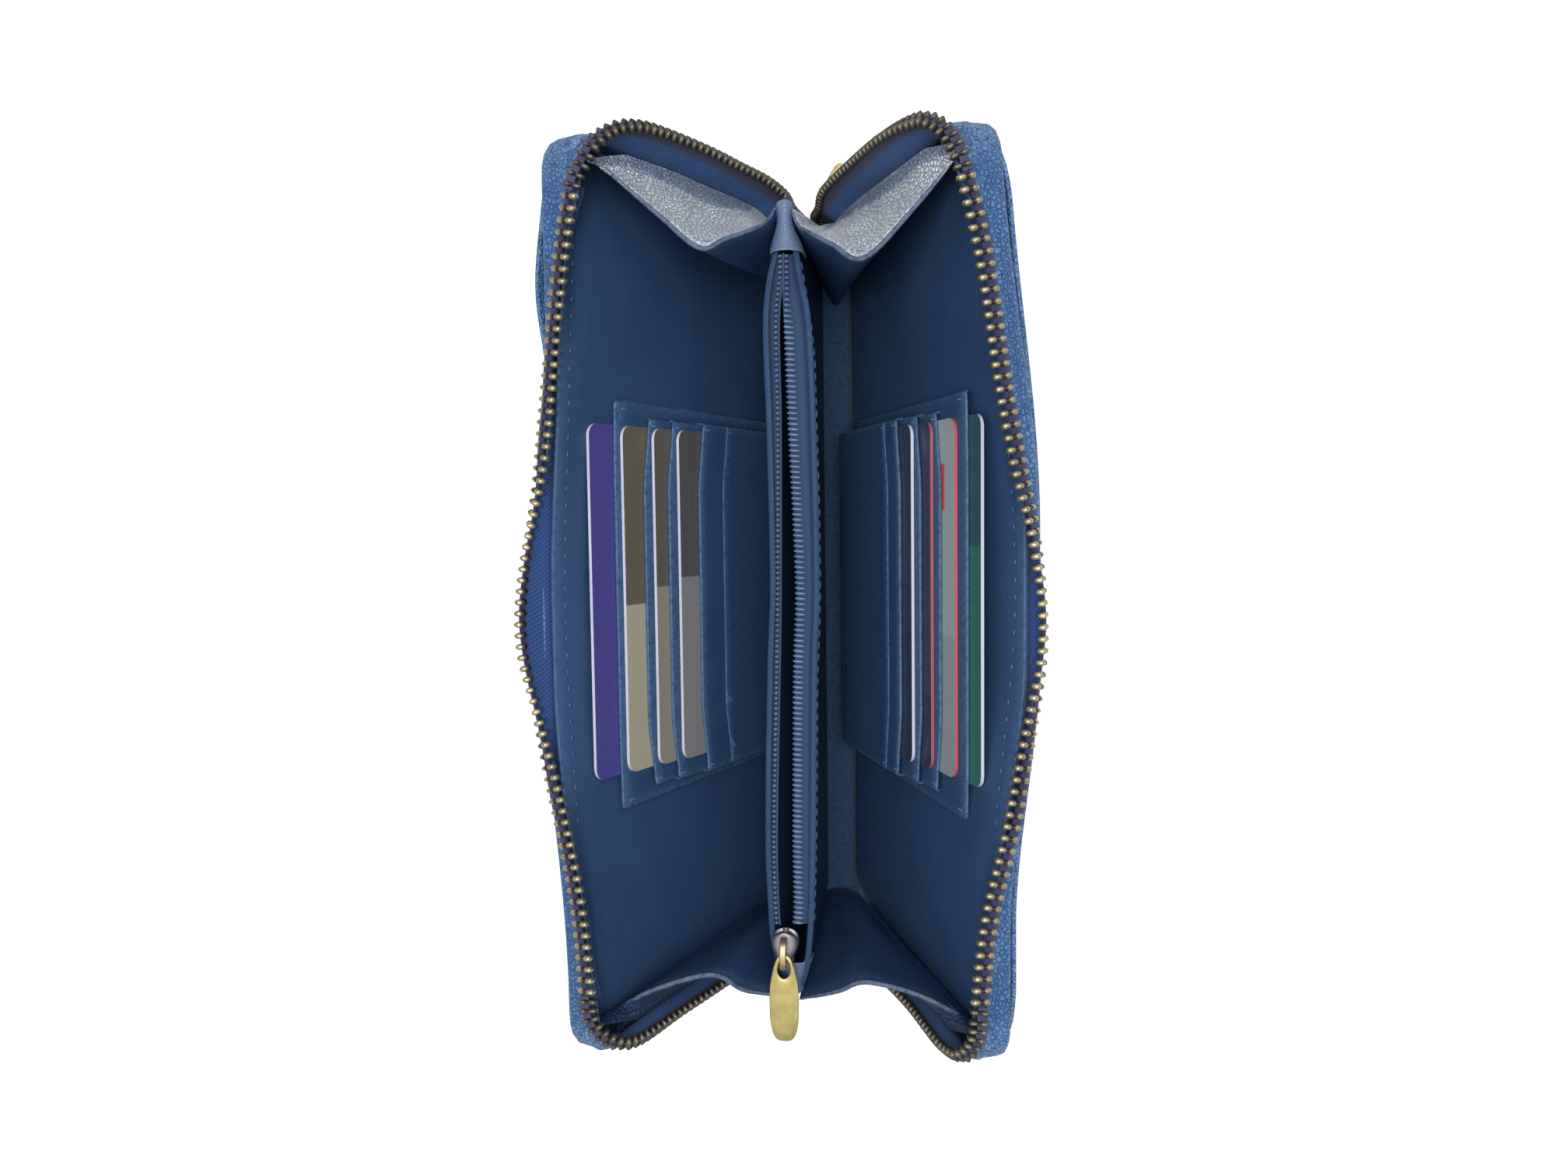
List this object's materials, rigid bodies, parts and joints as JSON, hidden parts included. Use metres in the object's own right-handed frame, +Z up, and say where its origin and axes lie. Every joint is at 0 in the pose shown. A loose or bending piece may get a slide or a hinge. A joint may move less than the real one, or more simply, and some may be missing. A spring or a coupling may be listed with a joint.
{
  "type": "zip-around passport wallet",
  "caption": "Leather zip-around travel wallet opened to a V, with stepped card slots on both covers, bill pockets and a zipped coin pocket down the middle.",
  "frame": {"origin": "middle of the spine's underside, on the surface that the wallet stands on", "axes": "+Z up out of the open wallet, +Y along the spine towards the end where the main zip slider is parked, +X across to the right cover"},
  "size_m": [0.1196, 0.2326, 0.1151],
  "materials": {
    "shell_leather": "pebbled, satin",
    "inner_leather": "smooth, satin",
    "gusset_leather": "pebbled, satin",
    "stiffener_board": "plain",
    "zip_tape": "twill",
    "zip_brass": "antique",
    "coin_coil": "moulded",
    "slider_silver": "antique",
    "pull_brass": "brushed antique",
    "card_purple": "gloss",
    "card_olive": "gloss",
    "card_taupe": "gloss",
    "card_graphite": "gloss",
    "card_teal": "gloss",
    "card_silver": "gloss",
    "card_navy": "gloss",
    "card_black": "gloss"
  },
  "bodies": {
    "wallet_back": {"spine_leather": "shell_leather", "spine_board": "stiffener_board", "spine_lining": "inner_leather", "coin_pocket_foot": "inner_leather", "coin_pocket_left_wall": "inner_leather", "coin_pocket_right_wall": "inner_leather", "coin_pocket_rear_cap": "inner_leather", "coin_pocket_front_cap": "inner_leather", "coin_zip_left_tape": "zip_tape", "coin_zip_right_tape": "zip_tape", "coin_zip_left_coil": "coin_coil", "coin_zip_right_coil": "coin_coil"},
    "left_cover": {"left_cover_leather": "shell_leather", "left_rim_band": "shell_leather", "left_cover_board": "stiffener_board", "left_cover_lining": "inner_leather", "left_slip_pocket": "shell_leather", "left_bill_pocket": "inner_leather", "left_slot_strip_1": "inner_leather", "left_slot_strip_2": "inner_leather", "left_slot_strip_3": "inner_leather", "left_slot_strip_4": "inner_leather", "left_zip_tape": "zip_tape", "left_zip_teeth": "zip_brass", "left_end_tapes": "zip_tape", "left_end_teeth": "zip_brass", "left_front_gusset": "gusset_leather", "left_rear_gusset": "gusset_leather"},
    "left_card_1": {"left_card_1": "card_purple"},
    "left_card_2": {"left_card_2": "card_olive"},
    "left_card_3": {"left_card_3": "card_taupe"},
    "left_card_4": {"left_card_4": "card_graphite"},
    "right_cover": {"right_cover_leather": "shell_leather", "right_rim_band": "shell_leather", "right_cover_board": "stiffener_board", "right_cover_lining": "inner_leather", "right_slip_pocket": "shell_leather", "right_bill_pocket": "inner_leather", "right_slot_strip_1": "inner_leather", "right_slot_strip_2": "inner_leather", "right_slot_strip_3": "inner_leather", "right_slot_strip_4": "inner_leather", "right_zip_tape": "zip_tape", "right_zip_teeth": "zip_brass", "right_end_tapes": "zip_tape", "right_end_teeth": "zip_brass", "right_front_gusset": "gusset_leather", "right_rear_gusset": "gusset_leather"},
    "right_card_1": {"right_card_1": "card_teal"},
    "right_card_2": {"right_card_2": "card_silver"},
    "right_card_3": {"right_card_3": "card_navy"},
    "right_card_4": {"right_card_4": "card_black"},
    "coin_zip_slider": {"coin_zip_slider": "slider_silver"},
    "coin_zip_pull": {"coin_zip_pull": "pull_brass"},
    "main_zip_slider": {"main_zip_slider": "pull_brass"},
    "main_zip_pull": {"main_zip_pull": "pull_brass"}
  },
  "joints": [
    {"name": "left_cover_hinge", "type": "hinge", "parent": "wallet_back", "child": "left_cover", "pos_m": [-0.014, 0, 0.003], "axis": [0, -1, 0], "range_deg": [-18, 5], "deforming": ["left_end_tapes", "left_end_teeth", "left_front_gusset", "left_rear_gusset"]},
    {"name": "left_card_1_slide", "type": "slide", "parent": "left_cover", "child": "left_card_1", "axis": [-0.3746, 0, 0.9272], "range_m": [0, 0.045]},
    {"name": "left_card_2_slide", "type": "slide", "parent": "left_cover", "child": "left_card_2", "axis": [-0.3746, 0, 0.9272], "range_m": [0, 0.045]},
    {"name": "left_card_3_slide", "type": "slide", "parent": "left_cover", "child": "left_card_3", "axis": [-0.3746, 0, 0.9272], "range_m": [0, 0.045]},
    {"name": "left_card_4_slide", "type": "slide", "parent": "left_cover", "child": "left_card_4", "axis": [-0.3746, 0, 0.9272], "range_m": [0, 0.045]},
    {"name": "right_cover_hinge", "type": "hinge", "parent": "wallet_back", "child": "right_cover", "pos_m": [0.014, 0, 0.003], "axis": [0, 1, 0], "range_deg": [-18, 5], "deforming": ["right_end_tapes", "right_end_teeth", "right_front_gusset", "right_rear_gusset"]},
    {"name": "right_card_1_slide", "type": "slide", "parent": "right_cover", "child": "right_card_1", "axis": [0.3746, 0, 0.9272], "range_m": [0, 0.045]},
    {"name": "right_card_2_slide", "type": "slide", "parent": "right_cover", "child": "right_card_2", "axis": [0.3746, 0, 0.9272], "range_m": [0, 0.045]},
    {"name": "right_card_3_slide", "type": "slide", "parent": "right_cover", "child": "right_card_3", "axis": [0.3746, 0, 0.9272], "range_m": [0, 0.045]},
    {"name": "right_card_4_slide", "type": "slide", "parent": "right_cover", "child": "right_card_4", "axis": [0.3746, 0, 0.9272], "range_m": [0, 0.045]},
    {"name": "coin_slide", "type": "slide", "parent": "wallet_back", "child": "coin_zip_slider", "axis": [0, 1, 0], "range_m": [0, 0.16], "deforming": ["coin_zip_left_tape", "coin_zip_left_coil", "coin_zip_right_tape", "coin_zip_right_coil"]},
    {"name": "coin_pull_flip", "type": "hinge", "parent": "coin_zip_slider", "child": "coin_zip_pull", "pos_m": [0, -0.09035, 0.08834], "axis": [-1, 0, 0], "range_deg": [0, 140]},
    {"name": "main_slide", "type": "slide", "parent": "wallet_back", "child": "main_zip_slider", "axis": [0, 0, 1], "range_m": [0, 0.025]},
    {"name": "main_pull_flip", "type": "hinge", "parent": "main_zip_slider", "child": "main_zip_pull", "pos_m": [0, 0.10644, 0.00515], "axis": [1, 0, 0], "range_deg": [0, 55]}
  ]
}
